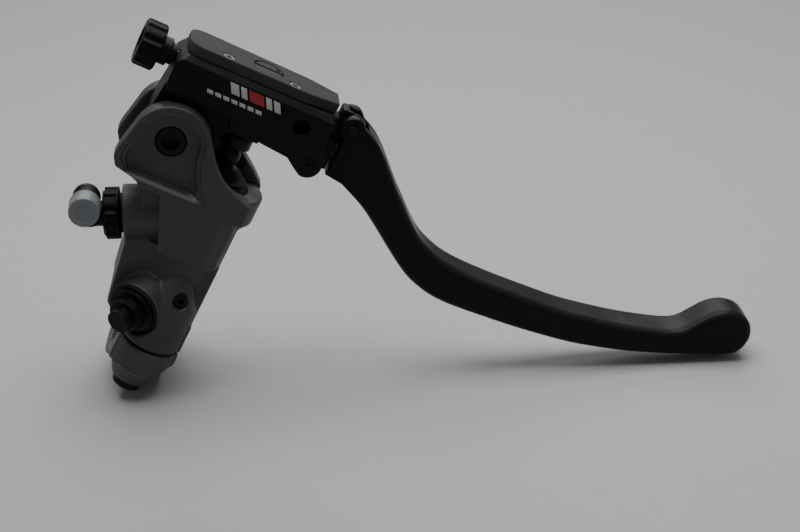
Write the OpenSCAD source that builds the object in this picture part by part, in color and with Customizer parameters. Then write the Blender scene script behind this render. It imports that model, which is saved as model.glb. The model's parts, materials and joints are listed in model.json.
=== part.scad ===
// Radial brake master cylinder with a folding, reach-adjustable lever.
// Every part is drawn in the cylinder's own frame and then leaned by stand():
// Z runs along the bore towards the lever, X along the lever towards its tip,
// Y across. X = Y = 0 is the bore axis. The handlebar's centre is the row's origin.

/* [Stance] */
// Lean of the bore from upright when it rests on clamp bolts and lever tip
lean = 26.5; // [25.5:0.5:27.5]

/* [Cylinder] */
// Bore of the hydraulic cylinder
bore_d = 19; // [18:0.5:19]
// Outside of the barrel
barrel_d = 26; // [25:0.5:27]
// Outside of the flange around the mouth
flange_d = 33; // [32:0.5:33.5]
// Height of the mouth
mouth_z = 62; // [61.5:0.5:62.5]
// Length of the piston
piston_l = 29; // [27:0.5:30]

/* [Handlebar clamp] */
// Handlebar diameter with its running clearance
bar_d = 22.4; // [22.2:0.1:22.6]
// Width of the clamp along the handlebar
clamp_w = 21; // [20:0.5:22]
// Offset of the handlebar from the bore axis
bar_y = 5; // [4.5:0.5:5.5]
// Height of the handlebar's centre
bar_z = 2.6; // [2.4:0.1:2.8]
// Distance from the handlebar to each clamp bolt
bolt_reach = 17; // [16.5:0.5:17.5]
// Gap between perch and cap
split = 0.8; // [0.4:0.2:1.2]

/* [Fork] */
// Distance of the lever pivot from the bore axis
pivot_x = 20; // [19:0.5:20.5]
// Height of the lever pivot
pivot_z = 71; // [70.5:0.5:71.5]
// Outer radius of each fork lug
lug_r = 13; // [12.5:0.5:13.5]
// Half of the gap between the lugs
fork_gap = 7.8; // [7.7:0.1:8]
// Outer face of each lug, inside its raised rim
lug_y = 11; // [10.8:0.2:11.4]
// Outer face of the raised rim
rim_y = 14.5; // [14:0.5:14.5]

/* [Lever base] */
// Half width of the lever base
base_y = 10.5; // [10.2:0.1:10.8]
// Height of the adjuster screw
screw_z = 94.7; // [94.5:0.1:95]
// Diameter of the reach knob
knob_d = 15.5; // [14:0.5:17]

/* [Joint block and blade] */
// Reach pin, distance from the bore axis
reach_x = 22.8; // [22.6:0.1:23]
// Reach pin height
reach_z = 82; // [81.8:0.1:82.2]
// Fold pin, distance from the bore axis
fold_x = 32; // [31.8:0.1:32.4]
// Fold pin height
fold_z = 97.5; // [97.2:0.1:97.8]
// Half width of the blade
blade_y = 7.5; // [7:0.25:8]

/* [Hidden] */
$fn = 64;

bore_r = bore_d / 2;
barrel_r = barrel_d / 2;
flange_r = flange_d / 2;
bore_end = 15;
clamp_x = 2;
clamp_x0 = clamp_x - clamp_w / 2;
clamp_x1 = clamp_x + clamp_w / 2;
clamp_r = bar_d / 2 + 4.6;
casting_x = 12.5;
casting_y = 14.5;
ledge_z = 57;
near_bolt_y = bar_y - bolt_reach;
far_bolt_y = bar_y + bolt_reach;
head_r = 5;
bolt_x = 0.5;
ear_x = 1.8;
piston_top = 56.5;
ball_r = 4;
anvil_z = pivot_z + ball_r + 0.12;
// the bolt heads end on the plane that the tip touches
tip_low = [186.4, 76.1];
floor_z = (tip_low[1] - bar_z) * cos(lean) - (tip_low[0] - clamp_x) * sin(lean);
head_end = bar_z + (floor_z + (head_r - 0.5 + bolt_x - clamp_x) * sin(lean)) / cos(lean);
head_seat = head_end + 6;
cap_end = head_end + 2.6;
inlet_y = -3;
inlet_z = 37.3;
inlet_x = -26.8;
elbow_x = -36.2;
elbow_z = 39.6;
base_top = 99.6;
cover_screw_x = [-14, 9];
cover_screw_y = -5.4;
screw_r = 1.9;
nut_x = 15.8;
nut_z = 92.6;
switch_x = -6;
switch_z = 46;
switch_y = 17;
switch_gap = 16;
outlet_turn = -118;
outlet_dip = 113;
outlet_z = 22;
outlet_l = 18.5;
gallery_x = 4.5;
gallery_z = 22.8;

casting = [0.42, 0.42, 0.42];
cap_grey = [0.55, 0.55, 0.54];
satin_black = [0.07, 0.07, 0.075];
steel = [0.6, 0.6, 0.62];
dark_steel = [0.2, 0.2, 0.21];
rubber = [0.05, 0.05, 0.05];

// ---- frames and helpers ----
module stand() {
    rotate([0, lean, 0])
        translate([-clamp_x, -bar_y, -bar_z])
            children();
}

module rod_x(r, x0, x1, y, z) {
    translate([x0, y, z])
        rotate([0, 90, 0])
            cylinder(r = r, h = x1 - x0);
}

module rod_y(r, y0, y1, x, z) {
    translate([x, y0, z])
        rotate([-90, 0, 0])
            cylinder(r = r, h = y1 - y0);
}

module rod_z(r, z0, z1, x = 0, y = 0) {
    translate([x, y, z0])
        cylinder(r = r, h = z1 - z0);
}

// XZ outline drawn from y0 to y1
module slab(y0, y1) {
    translate([0, y1, 0])
        rotate([90, 0, 0])
            linear_extrude(y1 - y0)
                children();
}

// XY outline drawn from z0 to z1
module floor_slab(z0, z1) {
    translate([0, 0, z0])
        linear_extrude(z1 - z0)
            children();
}

function arc(x, z, r, a0, a1, n = 16) =
    [for (i = [0 : n]) [x + r * cos(a0 + (a1 - a0) * i / n), z + r * sin(a0 + (a1 - a0) * i / n)]];

function curve(a, b, c, d, n = 12) =
    [for (i = [0 : n]) let (t = i / n, s = 1 - t)
        s * s * s * a + 3 * s * s * t * b + 3 * s * t * t * c + t * t * t * d];

// closed round wire wound about Z
module coil(r, wire, z0, z1, turns, side = 8, step = 20) {
    n = ceil(turns * 360 / step);
    rings = [for (i = [0 : n]) for (k = [0 : side - 1])
        let (a = i * step, b = 360 * k / side, q = r + wire * cos(b))
            [q * cos(a), q * sin(a), z0 + wire + (z1 - z0 - 2 * wire) * i / n + wire * sin(b)]];
    walls = [for (i = [0 : n - 1]) for (k = [0 : side - 1])
        let (a = i * side + k, b = i * side + (k + 1) % side)
            [a, a + side, b + side, b]];
    first = [[for (k = [0 : side - 1]) k]];
    last = [[for (k = [0 : side - 1]) (n + 1) * side - 1 - k]];
    polyhedron(rings, concat(first, walls, last), convexity = 10);
}

module socket(r, depth, z) {
    translate([0, 0, z - depth])
        cylinder(r = r, h = depth + 1, $fn = 6);
}

// ---- casting ----
module barrel() {
    rotate_extrude()
        polygon([
            [0, 8], [barrel_r - 1, 8], [barrel_r, 10], [barrel_r, 46], [14.1, 50.5],
            [14.1, mouth_z], [0, mouth_z]
        ]);
    floor_slab(52.5, mouth_z)
        polygon(concat(arc(0, 0, flange_r, -57, 57, 20), [[-6, 13.8], [-6, -13.8]]));
    floor_slab(50.8, 52.6)
        polygon(concat(arc(0, 0, flange_r - 1.4, -60, 60, 20), [[-6, 13], [-6, -13]]));
}

module block_plan() {
    polygon([
        [casting_x, -8], [10.5, -11.5], [6, -casting_y], [-20, -casting_y], [-21.5, -6],
        [-21.5, 8], [-15, casting_y], [6, casting_y], [10.5, 11.5], [casting_x, 8]
    ]);
}

// inner and outer steer the sweep from the arch into the mouth
module lug_outline(r, right, inner, outer) {
    swell = r - lug_r;
    polygon(concat(
        [[-33.2 - swell, 57.4], [-35 - swell, 60.5], [-34.8 - swell, 63.5]],
        arc(-pivot_x, pivot_z, r, 175, 25, 22),
        curve([-8.2, 76.5], inner, outer, [right, mouth_z - 0.2]),
        [[right, 54], [-22, 54], [-27, 56]]
    ));
}

module lug_pocket(r) {
    inset = lug_r - r;
    polygon(concat(
        [[-30.5 + inset / 2, ledge_z], [-34.6 + inset, 61], [-34.6 + inset, 63.5]],
        arc(-pivot_x, pivot_z, r, 175, 20, 22),
        curve([-pivot_x + r - 0.6, pivot_z + 4], [-6.5 - inset, 66], [-5 - inset, 62], [1 - inset, ledge_z])
    ));
}

module lug(side, right, inner, outer) {
    mirror([0, side < 0 ? 1 : 0, 0]) {
        slab(fork_gap, lug_y)
            lug_outline(lug_r, right, inner, outer);
        difference() {
            slab(lug_y - 0.1, rim_y)
                lug_outline(lug_r, right, inner, outer);
            slab(lug_y, rim_y + 2)
                lug_pocket(lug_r - 3.4);
            slab(rim_y - 1.2, rim_y + 2)
                lug_pocket(lug_r - 1.7);
        }
    }
}

module perch() {
    intersection() {
        union() {
            rod_x(clamp_r, clamp_x0, clamp_x1, bar_y, bar_z);
            translate([clamp_x0, near_bolt_y, bar_z])
                cube([clamp_w, bolt_reach * 2, 11]);
            rod_z(10.1, bar_z, 19, ear_x, near_bolt_y + 3);
            translate([ear_x, near_bolt_y + 3, 18.99])
                cylinder(r1 = 10.1, r2 = 4, h = 12);
            rod_z(7.5, bar_z, bar_z + 11, ear_x, far_bolt_y);
            translate([clamp_x0, bar_y, bar_z])
                cube([clamp_w, 14, 20]);
        }
        translate([-40, -40, bar_z + split / 2])
            cube([80, 90, 40]);
    }
}

// the switch holes lie level when the part stands
module switch_row() {
    for (s = [-switch_gap / 2, switch_gap / 2])
        translate([switch_x + s * cos(lean), switch_z + s * sin(lean)])
            children();
}

module switch_pad() {
    slab(casting_y - 1, switch_y)
        translate([switch_x, switch_z])
            rotate(lean)
                polygon(concat(
                    arc(switch_gap / 2, 0, 4, -90, 90),
                    arc(-switch_gap / 2, 0, 4, 90, 270)
                ));
}

module outlet_way() {
    translate([0, 0, outlet_z])
        rotate([0, 0, outlet_turn])
            rotate([0, outlet_dip, 0])
                children();
}

module cylinder_body() color(casting) stand() difference() {
    union() {
        barrel();
        difference() {
            floor_slab(35, ledge_z)
                block_plan();
            slab(-20, -8.5)
                polygon([[-30, 30], [-30, 55.6], [-17.2, 55.6], [-8.4, 34], [-8.4, 30]]);
        }
        slab(-11, 11)
            polygon([[-33, 61], [-30, 57.5], [-22, 52], [-20, 44], [4, 44], [4, ledge_z], [-22, ledge_z]]);
        slab(-9.5, 12)
            polygon([[-20, 36], [-16.5, 10], [-10, bar_z + split], [casting_x, bar_z + split], [casting_x, 36]]);
        lug(-1, 12, [-4.4, 71], [-0.5, 64]);
        lug(1, 16, [-1, 74], [7.5, 70.5]);
        perch();
        switch_pad();
        inlet_way()
            rod_z(9.4, -20, -4.2);
        outlet_way()
            cylinder(r = 8.8, h = outlet_l);
    }
    // bore, boot seat and circlip groove
    rod_z(bore_r, bore_end, mouth_z + 1);
    rod_z(bore_r + 0.8, 58.4, 59.7);
    rod_z(bore_r + 1.4, 60, 72);
    // fork slot for the lever base
    slab(-fork_gap, fork_gap)
        polygon([[-40, 58.5], [-11, 58.5], [-9, mouth_z], [20, mouth_z], [20, 90], [-40, 90]]);
    // pivot bore, bolt head seat
    rod_y(4, -20, 20, -pivot_x, pivot_z);
    rod_y(5.1, -20, -fork_gap - 1.2, -pivot_x, pivot_z);
    // handlebar and clamp bolts
    rod_x(bar_d / 2, clamp_x0 - 1, clamp_x1 + 1, bar_y, bar_z);
    rod_x(bar_d / 2 + 1.5, clamp_x0 - 30, clamp_x0, bar_y, bar_z);
    rod_z(3, -1, bar_z + 9.5, bolt_x, near_bolt_y);
    rod_z(3, -1, bar_z + 9.5, bolt_x, far_bolt_y);
    // inlet seat and feed drilling
    inlet_way() {
        rod_z(5, -12, 0);
        rod_z(1.2, -21, -11);
        rod_z(9.7, -4.21, 6);
    }
    // outlet seat, thread and drilling
    outlet_way() {
        translate([0, 0, outlet_l - 11])
            cylinder(r = 4.6, h = 12);
        cylinder(r = 1.5, h = outlet_l);
        rod_z(9.3, outlet_l - 0.01, outlet_l + 14);
    }
    // gallery plug seat
    rod_y(2.7, -20, -15.1, gallery_x, gallery_z);
    rod_y(1.9, -16, -11, gallery_x, gallery_z);
    // two holes for the brake light switch
    slab(switch_y - 6, switch_y + 1)
        switch_row()
            circle(r = 1.65);
}

module clamp_cap() color(cap_grey) stand() difference() {
    intersection() {
        union() {
            rod_x(clamp_r, clamp_x0, clamp_x1, bar_y, bar_z);
            translate([clamp_x0, near_bolt_y, cap_end + 4])
                cube([clamp_w, bolt_reach * 2, 20]);
            rod_z(10, cap_end + 5, bar_z, ear_x, near_bolt_y + 2.8);
            translate([bolt_x + 0.3, near_bolt_y + 0.6, cap_end])
                cylinder(r1 = 6.3, r2 = 8.6, h = 5.05);
            rod_z(7.5, cap_end, bar_z, bolt_x, far_bolt_y);
        }
        translate([-40, -40, bar_z - split / 2 - 40])
            cube([80, 90, 40]);
    }
    rod_x(bar_d / 2, clamp_x0 - 1, clamp_x1 + 1, bar_y, bar_z);
    // the near corner is bevelled towards the bolt
    translate([clamp_x1 - 0.9, near_bolt_y, -3])
        rotate([0, 117.6, -23.6])
            translate([-30, -30, 0])
                cube([60, 60, 30]);
    for (y = [near_bolt_y, far_bolt_y]) {
        rod_z(3.3, -30, 4, bolt_x, y);
        rod_z(5.3, -30, head_seat, bolt_x, y);
    }
}

module clamp_bolts() color(dark_steel) stand()
    for (y = [near_bolt_y, far_bolt_y])
        translate([bolt_x, y, 0])
            difference() {
                union() {
                    translate([0, 0, head_end])
                        cylinder(r1 = head_r - 0.5, r2 = head_r, h = 0.5);
                    rod_z(head_r, head_end + 0.5, head_seat);
                    rod_z(2.95, head_seat - 0.5, bar_z + 9);
                }
                translate([0, 0, head_end - 1])
                    cylinder(r = 2.9, h = 4, $fn = 6);
            }

// ---- pivot ----
module pivot_bolt() color(satin_black) stand() difference() {
    union() {
        rod_y(4.8, -lug_y + 0.6, -fork_gap - 1.2, -pivot_x, pivot_z);
        rod_y(3.96, -fork_gap - 1.3, 15.5, -pivot_x, pivot_z);
    }
    translate([-pivot_x, -lug_y - 1.8, pivot_z])
        rotate([-90, 0, 0])
            cylinder(r = 3.1, h = 4.8, $fn = 6);
}

module pivot_bush() color([0.62, 0.5, 0.28]) stand() difference() {
    rod_y(5.5, -7.45, 7.45, -pivot_x, pivot_z);
    rod_y(4.02, -8, 8, -pivot_x, pivot_z);
}

module pivot_nut() color(dark_steel) stand() difference() {
    translate([-pivot_x, lug_y, pivot_z])
        rotate([-90, 0, 0])
            cylinder(r = 6.6, h = 4, $fn = 6);
    rod_y(3.97, lug_y - 1, 20, -pivot_x, pivot_z);
}

// ---- hydraulics ----
module piston() color(steel) stand() {
    low = piston_top - piston_l;
    rotate_extrude()
        polygon([
            [0, low], [7.6, low], [7.6, low + 1.5], [6.4, low + 1.5], [6.4, low + 5],
            [bore_r - 0.06, low + 5], [bore_r - 0.06, low + 6.5], [6.5, low + 8], [6.5, 47.5],
            [bore_r - 0.06, 48.5], [bore_r - 0.06, 49.5], [6.8, 49.5], [6.8, 53],
            [bore_r - 0.06, 53], [bore_r - 0.06, piston_top], [3.7, piston_top], [3.7, 50], [0, 47.5]
        ]);
}

module cup(z, inner) {
    rotate_extrude()
        polygon([
            [inner, z], [bore_r - 0.9, z], [bore_r - 0.03, z + 0.4], [bore_r - 0.06, z + 3],
            [inner, z + 3]
        ]);
}

module primary_cup() color(rubber) stand()
    cup(piston_top - piston_l + 1.75, 6.42);

module secondary_cup() color(rubber) stand()
    cup(49.75, 6.82);

module return_spring() color(steel) stand()
    coil(6.3, 0.5, bore_end + 0.1, piston_top - piston_l - 0.1, 3);

module stop_washer() color(steel) stand() difference() {
    rod_z(bore_r - 0.1, 56.9, 58.1);
    rod_z(4.6, 56, 59);
}

module circlip() color(dark_steel) stand() difference() {
    rod_z(bore_r + 0.7, 58.5, 59.6);
    rod_z(8, 58, 60);
    translate([0, -2, 58])
        cube([14, 4, 2]);
}

module pushrod() color(steel) stand() {
    rotate_extrude()
        polygon(concat(
            [[0, 47.7], [3.3, 50.1], [3.3, 56], [3, 57], [3, pivot_z - 3]],
            arc(0, pivot_z, ball_r, -41, 90, 14)
        ));
}

module dust_boot() color(rubber) stand()
    rotate_extrude()
        polygon([
            [9.2, 60.1], [bore_r + 1.3, 60.1], [bore_r + 1.3, 61.6], [9, 63], [9.4, 64.2],
            [6.6, 65.2], [7, 66.2], [4.6, 67.6], [3.1, 67.6], [3.1, 66.6], [5.6, 65.6],
            [5.2, 65], [8, 64], [7.6, 62.8], [9.2, 61.6]
        ]);

module push_anvil() color(dark_steel) stand() {
    rod_z(5.6, anvil_z, anvil_z + 4);
    rod_z(2.98, anvil_z + 3.9, 88);
}

// ---- lever base ----
module base_side() {
    polygon(concat(
        [[-27.5, 86], [-29, 88.5], [-29, 96], [-26, base_top], [24, base_top], [25.4, 97.5],
         [25.4, 90], [27.6, 86]],
        arc(reach_x, reach_z, 4.9, 10, -100, 10),
        [[19, 79], [16, 81.2], [5, 82.2], [-5, 82.5], [-6, 86]]
    ));
}
module base_neck() {
    polygon(concat(
        [[-28.5, 92], [-30.2, 76]],
        arc(-pivot_x, pivot_z, 10.4, 155, 355, 20),
        [[-6.5, 77.5], [-4, 80.2], [6, 80.4], [6, 92]]
    ));
}

module lever_base() color(satin_black) stand() difference() {
    union() {
        slab(-base_y, base_y)
            base_side();
        slab(-7.5, 7.5)
            base_neck();
    }
    rod_y(5.5, -12, 12, -pivot_x, pivot_z);
    // slot for the joint block, open below and to the right
    slab(-6.6, 6.6)
        polygon([[9.2, 70], [9.2, 98.2], [40, 98.2], [40, 70]]);
    rod_y(2, -12, 12, reach_x, reach_z);
    rod_y(2.7, -12, -6, nut_x, nut_z);
    // adjuster screw, anvil, detent and selector seats
    rod_x(screw_r + 0.06, -40, 10, 0, screw_z);
    rod_z(3, anvil_z + 4, 88);
    rod_z(5.8, 70, anvil_z + 4.05);
    rod_y(1.6, 1, 12, -24, screw_z);
    rod_z(4.6, 98, 101);
    for (x = cover_screw_x)
        rod_z(1.25, 98.5, 101, x, cover_screw_y);
    // bevelled near edge, side inlay and lightening groove
    translate([0, -base_y, base_top])
        rotate([45, 0, 0])
            cube([80, 3, 3], center = true);
    slab(-base_y - 1, -base_y + 0.6)
        polygon([[-11.2, 93.5], [-11.2, 97.3], [8.2, 97.3], [8.2, 93.5]]);
}

module front_cover() color([0.3, 0.3, 0.31]) stand() difference() {
    floor_slab(base_top, 103.2)
        polygon(concat(
            [[24.8, 5.2], [14, 8]],
            arc(-22, 3.4, 5.4, 100, 190, 6),
            arc(-22, -3.4, 5.4, 170, 260, 6),
            [[14, -8], [24.8, -5.2]]
        ));
    rod_z(5.2, 99, 104);
    for (x = cover_screw_x) {
        rod_z(1.5, 99, 104, x, cover_screw_y);
        rod_z(2.1, 102, 104, x, cover_screw_y);
    }
    translate([-28.4, 0, 104.8])
        rotate([0, -20, 0])
            cube([12, 30, 4], center = true);
}

module cover_screws() color(steel) stand()
    for (x = cover_screw_x)
        translate([x, cover_screw_y, 0])
            difference() {
                union() {
                    rod_z(2, 102.1, 103);
                    rod_z(1.2, 98.6, 102.2);
                }
                socket(1.1, 0.7, 103);
            }

module ratio_selector() color(steel) stand() difference() {
    union() {
        rod_z(4.9, base_top + 0.3, 103);
        rod_z(4.3, 98.3, base_top + 0.4);
    }
    translate([-6, -0.6, 102])
        cube([12, 1.2, 2]);
    rod_z(0.7, 102.3, 104, 3.2, 2.4);
}

module adjuster_screw() color(dark_steel) stand() {
    rod_x(screw_r, -34.2, 21, 0, screw_z);
    rod_x(3.6, -31.3, -29.4, 0, screw_z);
    rod_x(4.6, -34.2, -31.2, 0, screw_z);
}

module reach_knob() color(satin_black) stand() difference() {
    union() {
        rod_x(knob_d / 2, -40.6, -34.8, 0, screw_z);
        translate([-41.2, 0, screw_z])
            rotate([0, 90, 0])
                cylinder(r1 = knob_d / 2 - 0.6, r2 = knob_d / 2, h = 0.61);
        translate([-34.81, 0, screw_z])
            rotate([0, 90, 0])
                cylinder(r1 = knob_d / 2, r2 = knob_d / 2 - 0.6, h = 0.6);
    }
    for (i = [0 : 11])
        translate([0, 0, screw_z])
            rotate([30 * i, 0, 0])
                translate([-46, 0, knob_d / 2 + 1.1])
                    rotate([0, 90, 0])
                        cylinder(r = 1.8, h = 20, $fn = 24);
    rod_x(4.6, -42, -40.4, 0, screw_z);
}

module detent_ball() color(steel) stand()
    translate([-24, screw_r + 1.5, screw_z])
        sphere(r = 1.2);

module detent_spring() color(steel) stand()
    translate([-24, screw_r + 2.8, screw_z])
        rotate([-90, 0, 0])
            coil(1.1, 0.25, 0, 3.6, 4, 6, 24);

module detent_grub() color(dark_steel) stand() difference() {
    rod_y(1.56, 8.5, base_y - 0.1, -24, screw_z);
    translate([-24, base_y - 1.2, screw_z])
        rotate([-90, 0, 0])
            cylinder(r = 0.8, h = 3, $fn = 6);
}

module side_inlay() color([0.75, 0.75, 0.74]) stand()
    slab(-base_y + 0.02, -base_y + 0.58)
        polygon([[-11, 93.7], [-11, 97.1], [8, 97.1], [8, 93.7]]);

// ---- joint block and blade ----
module block_side() {
    polygon(concat(
        arc(nut_x, nut_z, 5.2, 250, 118, 14),
        [[15.6, 97.3], [26.2, 96.8], [26.2, 92], [29.4, 90.5], [29.4, 81.2], [27.4, 80.4]],
        arc(reach_x, reach_z, 4.6, -10, -190, 14)
    ));
}

module joint_block() color(satin_black) stand() difference() {
    union() {
        slab(-6.2, 6.2)
            block_side();
        slab(-3.6, 3.6) {
            translate([fold_x, fold_z])
                circle(r = 4.3);
            polygon([[25.5, 92], [25.5, 97.2], [27, 98.4], [27, 101.3], [27.6, 101.8], [30.4, 101.8],
                     [35, 94.4], [29.4, 90.2]]);
        }
    }
    rod_y(2.02, -8, 8, reach_x, reach_z);
    rod_y(2.02, -8, 8, fold_x, fold_z);
    rod_y(4.02, -8, 8, nut_x, nut_z);
    rod_x(3.7, 5, 22.5, 0, screw_z);
    // room for the fold spring
    slab(-2.2, 2.2)
        polygon([[fold_x - 3.6, fold_z], [fold_x - 2, fold_z + 8], [fold_x + 8, fold_z + 8],
                 [fold_x + 8, fold_z - 8], [fold_x - 1, fold_z - 5]]);
}

module barrel_nut() color(steel) stand() difference() {
    rod_y(4, -6.1, 6.1, nut_x, nut_z);
    rod_x(2.9, 5, 25, 0, screw_z);
    translate([5, -2.9, screw_z])
        cube([20, 5.8, 5]);
    rod_y(1.6, -7, -5.2, nut_x, nut_z);
}

module reach_pin() color(dark_steel) stand() difference() {
    rod_y(1.98, -10.3, 10.3, reach_x, reach_z);
    rod_y(1, -11, -9.2, reach_x, reach_z);
}

module fold_pin() color(dark_steel) stand()
    rod_y(1.98, -blade_y + 0.1, blade_y - 0.1, fold_x, fold_z);

module fold_spring() color(steel) stand()
    translate([fold_x, -1.9, fold_z])
        rotate([-90, 0, 0])
            coil(2.75, 0.42, 0, 3.8, 3.5, 6, 20);

// upper and lower edge of the blade
blade_top = [
    [35, 99.6], [41.3, 96.6], [46.5, 92.4], [51.1, 87.9], [55, 84], [58.2, 81.2], [62, 77.8],
    [66.5, 74], [71, 71], [78, 68.3], [84.4, 67.1], [92, 66.7], [102, 66.8], [114, 67.3],
    [125.3, 68], [136, 69.6], [147, 71.7], [158, 74.6], [164.5, 76.8], [168.3, 79.2],
    [171.4, 83.6], [174.6, 88], [179, 91.2], [184.6, 92.1], [189.4, 90], [191.8, 85.8],
    [191.6, 81.4]
];
blade_low = [
    [36, 79.3], [45.6, 74.6], [53.8, 69.2], [62.4, 63.1], [70.6, 57.9], [77.6, 55.3], [84, 54.1],
    [92, 54], [101, 54.5], [112.3, 55.3], [123.4, 56.5], [134.5, 58.1], [145.1, 60.6],
    [155.5, 63.6], [165.7, 67.3], [175.6, 71.3], [182, 74.1], tip_low, [190, 78.3], [191.6, 81.4]
];

function spline(p, i, t) =
    let (a = p[max(i - 1, 0)], b = p[i], c = p[i + 1], d = p[min(i + 2, len(p) - 1)])
        0.5 * (2 * b + (c - a) * t + (2 * a - 5 * b + 4 * c - d) * t * t
            + (3 * b - a - 3 * c + d) * t * t * t);

function smooth(p, n = 3) =
    concat([for (i = [0 : len(p) - 2]) for (k = [0 : n - 1]) spline(p, i, k / n)], [p[len(p) - 1]]);

module blade_side() {
    low = smooth(blade_low);
    polygon(concat(smooth(blade_top), [for (i = [len(low) - 2 : -1 : 0]) low[i]]));
}

module lever_blade() color(satin_black) stand() difference() {
    union() {
        slab(-blade_y, blade_y)
            blade_side();
        slab(-blade_y, blade_y)
            polygon([[30.2, 79.8], [30.2, 95], [32.5, 99], [35.5, 99.6], [44, 92], [36.5, 79]]);
        rod_y(4.2, -blade_y, blade_y, fold_x, fold_z);
    }
    // clearance left of the stop face and around the block's lug
    slab(-10, 10)
        polygon([[20, 70], [20, 92.5], [26.8, 92.5], [29.9, 91.6], [29.9, 70]]);
    slab(-3.9, 3.9) {
        translate([fold_x, fold_z])
            circle(r = 6.2);
        polygon([[26, 91], [26, 104], [34, 104], [36, 90], [29, 88]]);
    }
    rod_y(2.03, -10, 10, fold_x, fold_z);
}

// ---- inlet and outlet ----
module inlet_way() {
    translate([inlet_x, inlet_y, inlet_z])
        rotate([0, -90 - lean, 0])
            children();
}

module rod_between(r, a, b) {
    d = b - a;
    translate(a)
        rotate([0, acos(d[2] / norm(d)), atan2(d[1], d[0])])
            cylinder(r = r, h = norm(d));
}

module inlet_elbow() color(satin_black) stand() {
    bend = [inlet_x - 6.8 * cos(lean), inlet_y, inlet_z - 6.8 * sin(lean)];
    turn = [elbow_x, inlet_y - 1, elbow_z];
    difference() {
        union() {
            inlet_way() {
                rod_z(4.9, -11.4, -4);
                rod_z(6.6, -4.1, -3.3);
                rod_z(4.2, -3.4, 6.8);
            }
            translate(bend)
                sphere(r = 4.5);
            rod_between(4.2, bend, turn);
            translate(turn)
                sphere(r = 4.6);
            rod_y(4.2, -9, inlet_y - 1, elbow_x, elbow_z);
            rod_y(3.3, -16, -8, elbow_x, elbow_z);
            rod_y(3.9, -14.5, -13.5, elbow_x, elbow_z);
            rod_y(3.9, -11.5, -10.5, elbow_x, elbow_z);
        }
        inlet_way()
            rod_z(2.2, -12, 6.8);
        rod_between(1.9, bend, turn);
        rod_y(2.2, -17, inlet_y - 1, elbow_x, elbow_z);
        inlet_way()
            seal_seat();
    }
}

module seal_seat() {
    difference() {
        rod_z(6, -9.4, -7.2);
        rod_z(3.6, -10, -6);
    }
}

module inlet_seal() color(rubber) stand() inlet_way()
    translate([0, 0, -8.3])
        rotate_extrude()
            translate([4.3, 0])
                circle(r = 0.66, $fn = 24);

module inlet_nut() color(satin_black) stand() inlet_way() difference() {
    union() {
        rod_z(8.6, -3, 1.6);
        rod_z(7.4, 1.5, 2.3);
    }
    rod_z(4.3, -10, 10);
    for (i = [0 : 11])
        rotate(30 * i)
            translate([9.3, 0, -2.2])
                cylinder(r = 1.5, h = 6, $fn = 24);
}

module inlet_cap() color([0.9, 0.91, 0.92]) stand() difference() {
    union() {
        rod_y(5, -17.2, -10.4, elbow_x, elbow_z);
        rod_y(5.25, -11.6, -10.4, elbow_x, elbow_z);
    }
    rod_y(3.95, -16.2, -8, elbow_x, elbow_z);
}

module outlet_plug() color(satin_black) stand() outlet_way() {
    rod_z(4.55, outlet_l - 9, outlet_l + 1.5);
    rod_z(8, outlet_l + 1.4, outlet_l + 3);
    rod_z(5.8, outlet_l + 2.9, outlet_l + 6.5);
    rod_z(4, outlet_l + 6.4, outlet_l + 10);
}

module outlet_washer() color(rubber) stand() outlet_way() difference() {
    rod_z(8.7, outlet_l + 0.02, outlet_l + 1.38);
    rod_z(4.7, outlet_l - 1, outlet_l + 2);
}

module gallery_plug() color(dark_steel) stand() difference() {
    union() {
        rod_y(1.85, -15.5, -11.2, gallery_x, gallery_z);
        rod_y(2.6, -16, -15.12, gallery_x, gallery_z);
    }
    translate([gallery_x, -16.5, gallery_z])
        rotate([-90, 0, 0])
            cylinder(r = 1.1, h = 2, $fn = 6);
}

cylinder_body();
clamp_cap();
clamp_bolts();
pivot_bolt();
pivot_bush();
pivot_nut();
piston();
primary_cup();
secondary_cup();
return_spring();
stop_washer();
circlip();
pushrod();
dust_boot();
push_anvil();
lever_base();
front_cover();
cover_screws();
ratio_selector();
reach_knob();
adjuster_screw();
detent_ball();
detent_spring();
detent_grub();
barrel_nut();
joint_block();
reach_pin();
fold_pin();
fold_spring();
lever_blade();
inlet_elbow();
inlet_nut();
inlet_seal();
inlet_cap();
outlet_plug();
outlet_washer();
gallery_plug();
side_inlay();
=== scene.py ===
import json
import math

import bpy
import numpy as np
from mathutils import Matrix, Vector


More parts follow.
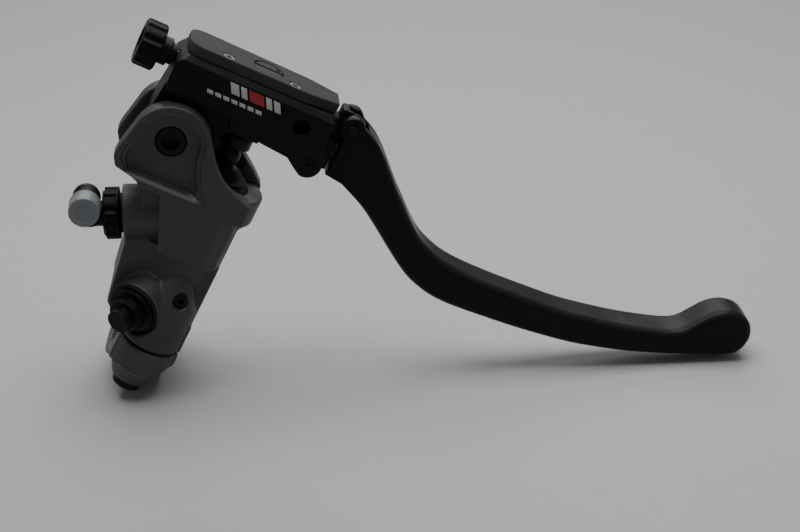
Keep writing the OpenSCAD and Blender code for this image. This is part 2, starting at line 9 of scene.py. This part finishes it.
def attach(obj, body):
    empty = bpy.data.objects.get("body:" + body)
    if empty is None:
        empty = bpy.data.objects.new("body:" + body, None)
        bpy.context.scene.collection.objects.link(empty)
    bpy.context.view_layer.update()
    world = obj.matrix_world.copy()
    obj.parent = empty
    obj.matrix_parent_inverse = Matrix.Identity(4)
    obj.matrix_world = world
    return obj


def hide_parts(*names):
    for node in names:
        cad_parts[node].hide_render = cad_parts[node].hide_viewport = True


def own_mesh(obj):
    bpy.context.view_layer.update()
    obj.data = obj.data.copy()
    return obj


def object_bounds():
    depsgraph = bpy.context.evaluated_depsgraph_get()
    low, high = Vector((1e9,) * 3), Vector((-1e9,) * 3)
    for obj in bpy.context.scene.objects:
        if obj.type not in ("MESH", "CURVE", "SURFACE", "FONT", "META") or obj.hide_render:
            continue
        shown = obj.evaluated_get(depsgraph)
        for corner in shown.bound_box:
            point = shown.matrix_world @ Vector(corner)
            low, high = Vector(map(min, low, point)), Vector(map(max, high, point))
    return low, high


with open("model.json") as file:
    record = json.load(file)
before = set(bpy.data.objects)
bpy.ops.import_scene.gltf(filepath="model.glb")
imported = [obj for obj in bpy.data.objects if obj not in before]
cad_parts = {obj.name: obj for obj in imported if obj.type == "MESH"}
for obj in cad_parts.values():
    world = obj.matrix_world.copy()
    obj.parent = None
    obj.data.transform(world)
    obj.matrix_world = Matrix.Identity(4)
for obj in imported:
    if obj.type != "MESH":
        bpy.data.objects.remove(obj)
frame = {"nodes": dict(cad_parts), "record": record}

cad_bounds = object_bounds()
record = frame["record"]
nodes = frame["nodes"]
joints = {j["name"]: j for j in record["behaviour"]["joints"]}
node_body = {n: b for b, names in record["behaviour"]["bodies"].items() for n in names}
node_slot = {s["node"]: s["material_slot"] for s in record["subparts"]}
scene = bpy.context.scene

# ---- the part's own frame in millimetres: Z along the bore, X towards the tip, Y across ----
axis = joints["ratio_turn"]["axis"]
lean = math.atan2(axis[0], axis[2])
LEVER_PIVOT = Vector((-20, 5, 71))
lever_pivot_m = Vector(joints["lever_pull"]["pos_m"])
TO_WORLD = (Matrix.Translation(lever_pivot_m) @ Matrix.Rotation(lean, 4, "Y")
            @ Matrix.Scale(0.001, 4) @ Matrix.Translation(-LEVER_PIVOT))
TO_LOCAL = TO_WORLD.inverted()


def coords(mesh):
    co = np.empty(len(mesh.vertices) * 3)
    mesh.vertices.foreach_get("co", co)
    return co.reshape(-1, 3)


def local_mesh(node):
    mesh = nodes[node].data.copy()
    mesh.transform(TO_LOCAL @ nodes[node].matrix_world)
    return mesh


def extent(node):
    co = coords(local_mesh(node))
    return co.min(0), co.max(0)


# ---- materials ----
BROAD_SCALE = 120
ROUGH_SPREAD = 0.09


def noise(tree, scale, detail):
    texture = tree.nodes.new("ShaderNodeTexNoise")
    texture.inputs["Scale"].default_value = scale
    texture.inputs["Detail"].default_value = detail
    return texture


def map_range(tree, source, from_min, from_max, to_min, to_max):
    level = tree.nodes.new("ShaderNodeMapRange")
    level.inputs["From Min"].default_value = from_min
    level.inputs["From Max"].default_value = from_max
    level.inputs["To Min"].default_value = to_min
    level.inputs["To Max"].default_value = to_max
    tree.links.new(source, level.inputs["Value"])
    return level.outputs["Result"]


def mix_colors(tree, factor):
    """A colour mix: inputs 6 and 7 and output 2 are its colour sockets."""
    mix = tree.nodes.new("ShaderNodeMix")
    mix.data_type = "RGBA"
    tree.links.new(factor, mix.inputs[0])
    return mix


def add_wear_and_shine(tree, color, wear_and_shine, amount, broad):
    """Lightens the edges that the mesh's attribute marks as scuffed, and paints the highlights that it
    marks, broken up by the broad noise.
    """
    edge = tree.nodes.new("ShaderNodeAttribute")
    edge.attribute_name = "wear_and_shine"
    broken = tree.nodes.new("ShaderNodeMath")
    broken.operation = "MULTIPLY"
    tree.links.new(edge.outputs["Fac"], broken.inputs[0])
    tree.links.new(broad, broken.inputs[1])
    wear_and_shine_mark = mix_colors(tree, map_range(tree, broken.outputs["Value"], 0.12, 0.5, 0, amount))
    tree.links.new(color, wear_and_shine_mark.inputs[6])
    wear_and_shine_mark.inputs[7].default_value = (*wear_and_shine, 1)
    return wear_and_shine_mark.outputs[2]


def material(name, color, rough, metal=0.0, grain=0.3, bump=0.15, mottle=0.12, spec=0.5,
             wear_and_shine=None, wear_and_shine_amount=0.5, scatter=0.0):
    """grain is the size of the surface texture in mm, bump its strength, and the edge colour that of scuffed
    edges and of painted highlights.
    """
    m = bpy.data.materials.new(name)
    m.use_nodes = True
    tree = m.node_tree
    link = tree.links.new
    bsdf = tree.nodes["Principled BSDF"]
    bsdf.inputs["Metallic"].default_value = metal
    bsdf.inputs["Specular IOR Level"].default_value = spec
    if scatter:
        bsdf.inputs["Subsurface Weight"].default_value = scatter
        bsdf.inputs["Subsurface Scale"].default_value = 0.002
    where = tree.nodes.new("ShaderNodeTexCoord").outputs["Object"]
    fine = noise(tree, 1000 / grain, 2)
    broad = noise(tree, BROAD_SCALE, 5)
    link(where, fine.inputs["Vector"])
    link(where, broad.inputs["Vector"])
    relief = tree.nodes.new("ShaderNodeBump")
    relief.inputs["Distance"].default_value = 0.0001
    relief.inputs["Strength"].default_value = bump
    link(fine.outputs["Fac"], relief.inputs["Height"])
    link(relief.outputs["Normal"], bsdf.inputs["Normal"])
    rough_low = max(rough - ROUGH_SPREAD, 0.03)
    rough_high = min(rough + ROUGH_SPREAD, 1)
    link(map_range(tree, broad.outputs["Fac"], 0.3, 0.7, rough_low, rough_high), bsdf.inputs["Roughness"])
    tint = mix_colors(tree, broad.outputs["Fac"])
    tint.inputs[6].default_value = (*[c * (1 - mottle) for c in color], 1)
    tint.inputs[7].default_value = (*[c * (1 + mottle) for c in color], 1)
    base = tint.outputs[2]
    if wear_and_shine:
        base = add_wear_and_shine(tree, base, wear_and_shine, wear_and_shine_amount, broad.outputs["Fac"])
    link(base, bsdf.inputs["Base Color"])
    return m


def grey(value):
    return (value, value, value)


LOOKS = {
    # the casting's edge colour also paints the bright highlight along the ledge under the lugs
    "body_casting": dict(color=grey(0.047), rough=0.50, metal=0.30, grain=0.35, bump=0.35, mottle=0.10,
                         wear_and_shine=grey(0.17), wear_and_shine_amount=0.8),
    "clamp_grey": dict(color=grey(0.066), rough=0.50, metal=0.35, grain=0.35, bump=0.30, mottle=0.10,
                       wear_and_shine=grey(0.16), wear_and_shine_amount=0.6),
    "black_steel": dict(color=grey(0.006), rough=0.38, metal=0.20, bump=0.10, mottle=0.15, spec=0.2,
                        wear_and_shine=grey(0.05)),
    "bronze": dict(color=(0.30, 0.19, 0.07), rough=0.35, metal=1.0, bump=0.1),
    "hard_aluminium": dict(color=(0.38, 0.37, 0.33), rough=0.35, metal=1.0, grain=0.2, bump=0.1),
    "seal_rubber": dict(color=grey(0.006), rough=0.60, grain=0.4, spec=0.2),
    "boot_rubber": dict(color=grey(0.005), rough=0.62, grain=0.4, bump=0.25, spec=0.3),
    "spring_steel": dict(color=grey(0.45), rough=0.28, metal=1.0, grain=0.2, bump=0.08),
    "bright_steel": dict(color=grey(0.20), rough=0.36, metal=1.0, grain=0.25, bump=0.10, mottle=0.08),
    "lever_black": dict(color=grey(0.006), rough=0.42, bump=0.16, mottle=0.15, spec=0.14,
                        wear_and_shine=grey(0.03)),
    "cover_grey": dict(color=grey(0.044), rough=0.58, bump=0.16, mottle=0.10, spec=0.05,
                       wear_and_shine=grey(0.10)),
    "knob_black": dict(color=grey(0.0025), rough=0.42, bump=0.14, mottle=0.15, spec=0.14,
                       wear_and_shine=grey(0.025)),
    "blade_black": dict(color=grey(0.006), rough=0.36, grain=0.5, bump=0.07, mottle=0.15, spec=0.12,
                        wear_and_shine=grey(0.018), wear_and_shine_amount=0.4),
    "black_plastic": dict(color=grey(0.0025), rough=0.50, grain=0.35, bump=0.2, spec=0.14),
    "white_plastic": dict(color=(0.165, 0.18, 0.19), rough=0.42, grain=0.5, bump=0.1, mottle=0.06,
                          scatter=0.35),
    "inlay_plastic": dict(color=grey(0.40), rough=0.4, bump=0.08, mottle=0.05),
}
MATERIALS = {name: material(name, **look) for name, look in LOOKS.items()}
RED = material("inlay_red", (0.30, 0.012, 0.014), 0.4, bump=0.08, mottle=0.05)
PALE = material("inlay_pale", (0.42, 0.43, 0.42), 0.4, bump=0.08, mottle=0.05)


# ---- pieces ----
def place(name, mesh, node, sharp, looks=None):
    """Puts a mesh from the part's own frame in the scene, in its node's place and on its node's body."""
    mesh.transform(TO_WORLD)
    index = [p.material_index for p in mesh.polygons]
    mesh.materials.clear()
    for look in looks or [MATERIALS[node_slot[node]]]:
        mesh.materials.append(look)
    if looks:
        mesh.polygons.foreach_set("material_index", index)
    mesh.shade_smooth()
    mesh.set_sharp_from_angle(angle=math.radians(sharp))
    o = bpy.data.objects.new(name, mesh)
    scene.collection.objects.link(o)
    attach(o, node_body[node])
    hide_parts(node)
    return o


SMOOTHING = 0.6
WEAR_DEPTH = 1.1


def modified(mesh, kind, **settings):
    """A copy of the mesh with one modifier applied."""
    obj = bpy.data.objects.new("form", mesh)
    scene.collection.objects.link(obj)
    mod = obj.modifiers.new(kind, kind)
    for key, value in settings.items():
        setattr(mod, key, value)
    graph = bpy.context.evaluated_depsgraph_get()
    out = bpy.data.meshes.new_from_object(obj.evaluated_get(graph))
    bpy.data.objects.remove(obj)
    return out


def average(co, pairs, count):
    """The mean of each vertex's neighbours."""
    total = np.zeros_like(co)
    for k in range(3):
        total[:, k] = (np.bincount(pairs[:, 0], co[pairs[:, 1], k], len(co))
                       + np.bincount(pairs[:, 1], co[pairs[:, 0], k], len(co)))
    return total / count[:, None]


def forge(node, voxel, passes, faces, shape=None, painted_shine=None):
    """Remeshes a node finely, rounds its edges and inner corners, and marks how far each edge moved back,
    adding any painted highlight to that mark.
    """
    low, high = extent(node)
    mesh = modified(local_mesh(node), "REMESH", mode="VOXEL", voxel_size=voxel, adaptivity=0)
    co = coords(mesh)
    pairs = np.empty(len(mesh.edges) * 2, dtype=np.int32)
    mesh.edges.foreach_get("vertices", pairs)
    pairs = pairs.reshape(-1, 2)
    count = np.bincount(pairs.ravel(), minlength=len(co)).clip(1)
    first = co.copy()
    for _ in range(passes):
        co = co + SMOOTHING * (average(co, pairs, count) - co)
    if shape:
        co = shape(co)
    co = co.clip(low, high)
    mesh.vertices.foreach_set("co", co.ravel())
    mesh.update()
    normal = np.empty(len(co) * 3)
    mesh.vertex_normals.foreach_get("vector", normal)
    wear_and_shine_mark = ((first - co) * normal.reshape(-1, 3)).sum(1) / (voxel * WEAR_DEPTH)
    # adds a painted highlight, such as the one along the casting's ledge, to the edge mark
    if painted_shine:
        wear_and_shine_mark += painted_shine(first)
    mesh.attributes.new("wear_and_shine", "FLOAT", "POINT").data.foreach_set("value", wear_and_shine_mark.clip(0, 2))
    triangles = len(mesh.polygons) * 2
    if triangles > faces:
        mesh = modified(mesh, "DECIMATE", ratio=faces / triangles)
    return place(node + "_form", mesh, node, 60)


def smoothstep(a, b, v):
    t = np.clip((v - a) / (b - a), 0, 1)
    return t * t * (3 - 2 * t)


# ---- the blade: its flat sides are rounded into the top and bottom edges ----
def side_walls(node):
    """Outline of a node drawn across Y, as segments in the XZ plane."""
    mesh = local_mesh(node)
    co = coords(mesh)
    half = np.abs(co[:, 1]).max()
    found = []
    for p in mesh.polygons:
        if abs(p.normal.y) > 0.2:
            continue
        points = co[list(p.vertices)]
        if np.abs(points[:, 1]).max() < half - 0.1:
            continue
        flat = points[:, [0, 2]]
        gap = np.linalg.norm(flat[:, None] - flat[None], axis=2)
        i, j = np.unravel_index(gap.argmax(), gap.shape)
        if gap[i, j] > 0.01:
            found.append((flat[i], flat[j]))
    return np.array(found)


def outline_distance(co, walls):
    """Distance of each vertex from the outline, seen across Y."""
    point = co[:, [0, 2]]
    best = np.full(len(co), 1e9)
    for a, b in walls:
        d = b - a
        t = np.clip(((point - a) @ d) / (d @ d), 0, 1)
        best = np.minimum(best, np.linalg.norm(point - a - t[:, None] * d, axis=1))
    return best


FOLD_CENTRE = np.array([32.0, 97.5])
FOLD_HOLE_R = 3.2
ROOT_CORNER = 0.7
GRIP_CORNER = 2.8
blade_low, blade_high = extent("lever_blade")
blade_half = (blade_high[1] - blade_low[1]) / 2
walls = side_walls("lever_blade")
walls = walls[np.linalg.norm(walls.mean(1) - FOLD_CENTRE, axis=1) > FOLD_HOLE_R]


def blade_shape(co):
    """Rounds the blade's long edges, tightly at the root and widely along the grip."""
    depth = outline_distance(co, walls)
    corner = ROOT_CORNER + (GRIP_CORNER - ROOT_CORNER) * smoothstep(36, 52, co[:, 0])
    inside = np.clip(corner - depth, 0, None)
    inset = corner - np.sqrt(np.clip(corner ** 2 - inside ** 2, 0, None))
    co[:, 1] *= (blade_half - inset) / blade_half
    return co


# ---- the transport cap's dish and the painted highlight along the casting's ledge ----
def dished(co):
    """A shallow dish in the transport cap's face."""
    centre = (co.min(0) + co.max(0)) / 2
    radius = np.hypot(co[:, 0] - centre[0], co[:, 2] - centre[2])
    front = co[:, 1] < co[:, 1].min() + 0.3
    co[:, 1] += np.where(front, 0.5 * (1 - smoothstep(2.9, 4.1, radius)), 0)
    return co


LEDGE_Z = 56.9
LUG_INNER_Y = 12.2


def ledge_shine(co):
    """Paints a highlight along the edge of the ledge under each lug, where light catches it."""
    x, y, z = co.T
    on_ledge = (np.abs(z - LEDGE_Z) < 0.7) * (np.abs(y) > LUG_INNER_Y)
    return 1.6 * on_ledge * smoothstep(-31, -27, x) * (1 - smoothstep(-7, -3, x))


# ---- each forged node: voxel size in mm, smoothing passes, most faces ----
FORGED = {
    "cylinder_body": (0.3, 7, 180000),
    "clamp_cap": (0.28, 7, 120000),
    "lever_blade": (0.3, 4, 180000),
    "lever_base": (0.28, 4, 150000),
    "front_cover": (0.22, 5, 120000),
    "joint_block": (0.2, 3, 90000),
    "reach_knob": (0.16, 3, 90000),
    "adjuster_screw": (0.16, 2, 40000),
    "inlet_elbow": (0.18, 6, 70000),
    "inlet_nut": (0.16, 3, 70000),
    "inlet_cap": (0.18, 5, 50000),
    "outlet_plug": (0.16, 4, 80000),
    "outlet_washer": (0.16, 2, 50000),
    "pivot_bolt": (0.16, 2, 60000),
    "pivot_nut": (0.14, 2, 30000),
    "clamp_bolts": (0.16, 2, 90000),
    "dust_boot": (0.16, 3, 60000),
    "pushrod": (0.16, 2, 40000),
    "push_anvil": (0.16, 2, 30000),
    "gallery_plug": (0.1, 2, 30000),
    "cover_screws": (0.08, 2, 40000),
    "ratio_selector": (0.12, 2, 40000),
    "reach_pin": (0.12, 2, 40000),
    "fold_pin": (0.12, 2, 40000),
    "barrel_nut": (0.14, 2, 40000),
}
SHAPES = {"lever_blade": blade_shape, "inlet_cap": dished}
# painted highlight along the ledge under the cylinder body's lugs
PAINTED_SHINES = {"cylinder_body": ledge_shine}
forms = {}
for node, (voxel, passes, faces) in FORGED.items():
    forms[node] = forge(node, voxel, passes, faces, SHAPES.get(node), PAINTED_SHINES.get(node))


spring_low, spring_high = extent("return_spring")
boot_low = extent("dust_boot")[0]
spring_mesh = modified(local_mesh("return_spring"), "SUBSURF", levels=2)
spring = place("return_spring_form", spring_mesh, "return_spring", 40)
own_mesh(spring)
boot = forms["dust_boot"]
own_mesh(boot)


# ---- plain slanted bars in the base's recess and a row of dashes below them ----
def prism(verts, faces, outline, y0, y1, edge):
    """An outline drawn across Y whose front edge is rounded by two steps."""
    n, start = len(outline), len(verts)
    centre = np.mean(outline, axis=0)
    for y, inset in ((y1, 0), (y0 + edge, 0), (y0 + edge * 0.3, edge * 0.35), (y0, edge)):
        for point in np.array(outline):
            toward = centre - point
            x, z = point + toward * min(inset / np.linalg.norm(toward) * 1.4, 0.4)
            verts.append((x, y, z))
    for k in range(3):
        a = start + k * n
        faces += [(a + i, a + (i + 1) % n, a + n + (i + 1) % n, a + n + i) for i in range(n)]
    faces += [tuple(range(start + n - 1, start - 1, -1)), tuple(range(start + 3 * n, start + 4 * n))]


def slanted(x0, x1, z0, z1, slant, steps=6):
    """Four-sided bar with its long edges cut into steps."""
    low_edge = [(x0 + (x1 - x0) * i / steps, z0) for i in range(steps + 1)]
    high_edge = [(x1 + slant + (x0 - x1) * i / steps, z1) for i in range(steps + 1)]
    return low_edge + high_edge


BAR_SLANT = 1.8
# each bar's start and end in tenths of the recess, and its colour: 0 pale, 1 red
BARS = [(0, 1.7, 0), (2.1, 3.3, 0), (3.7, 6.7, 1), (7.1, 8.3, 0), (8.7, 10, 0)]
DASHES = 7
DASH_START, DASH_STEP, DASH_LENGTH = -16.3, 2.78, 2.1
DASH_LOW, DASH_HIGH = 90.9, 92.1
DASH_OUT = 0.16
low, high = extent("side_inlay")
base_front = extent("lever_base")[0][1]
tenth = (high[0] - low[0] - BAR_SLANT) / 10
left = low[0] + BAR_SLANT
verts, faces, colors = [], [], []
for start, end, color in BARS:
    bar = slanted(left + start * tenth, left + end * tenth, low[2], high[2], -BAR_SLANT)
    prism(verts, faces, bar, low[1], high[1], 0.12)
    colors += [color] * (len(faces) - len(colors))
for k in range(DASHES):
    start = DASH_START + DASH_STEP * k
    dash = slanted(start, start + DASH_LENGTH, DASH_LOW, DASH_HIGH, -0.5)
    prism(verts, faces, dash, base_front - DASH_OUT, base_front + 0.3, 0.1)
    colors += [0] * (len(faces) - len(colors))
mesh = bpy.data.meshes.new("side_marks")
mesh.from_pydata(verts, [], faces)
mesh.polygons.foreach_set("material_index", colors)
place("side_marks", mesh, "side_inlay", 30, [PALE, RED])


# ---- the CAD nodes that stay keep their shape: a small bevel and their material ----
for node, o in nodes.items():
    o.data.materials.clear()
    o.data.materials.append(MATERIALS[node_slot[node]])
    if node in ("fold_spring", "detent_spring"):
        mod = o.modifiers.new("round", "SUBSURF")
        mod.levels = mod.render_levels = 1
    else:
        mod = o.modifiers.new("edges", "BEVEL")
        mod.width = 0.00012
        mod.segments = 2
        mod.limit_method = "ANGLE"
        mod.angle_limit = math.radians(40)


# ---- camera ----
AZIMUTH = math.radians(-5)
ELEVATION = math.radians(25)
DISTANCE = 0.6026
AIM_OFFSET = Vector((0.074095, -0.005, -0.051572))
back = Vector((math.sin(AZIMUTH) * math.cos(ELEVATION), -math.cos(AZIMUTH) * math.cos(ELEVATION),
               math.sin(ELEVATION)))
aim = lever_pivot_m + AIM_OFFSET
camera = bpy.data.objects.new("camera", bpy.data.cameras.new("camera"))
scene.collection.objects.link(camera)
camera.location = aim + back * DISTANCE
camera.rotation_euler = back.to_track_quat("Z", "Y").to_euler()
camera.data.lens = 80
camera.data.sensor_width = 36
scene.camera = camera


# ---- floor and studio light ----
HALF_FLOOR = 3.0
ground = cad_bounds[0][2]
corners = [(x * HALF_FLOOR, y * HALF_FLOOR, ground) for x, y in ((-1, -1), (1, -1), (1, 1), (-1, 1))]
floor_mesh = bpy.data.meshes.new("floor")
floor_mesh.from_pydata(corners, [], [(0, 1, 2, 3)])
floor_mesh.materials.append(material("paper", grey(0.43), 0.75, grain=0.6, bump=0.05, mottle=0.01))
floor = bpy.data.objects.new("floor", floor_mesh)
scene.collection.objects.link(floor)


def lamp(name, where, watts, width, depth):
    """A rectangular area light that faces the part."""
    data = bpy.data.lights.new(name, "AREA")
    data.shape = "RECTANGLE"
    data.energy = watts
    data.size = width
    data.size_y = depth
    o = bpy.data.objects.new(name, data)
    scene.collection.objects.link(o)
    o.location = where
    o.rotation_euler = (Vector(where) - aim).to_track_quat("Z", "Y").to_euler()


lamp("overhead", (0.08, 0.06, 0.62), 4.7, 0.7, 0.5)
lamp("behind", (0.15, 0.85, 0.60), 3.6, 1.0, 0.5)
world = bpy.data.worlds.new("world")
scene.world = world
world.use_nodes = True
world.node_tree.nodes["Background"].inputs["Color"].default_value = (0.20, 0.20, 0.201, 1)
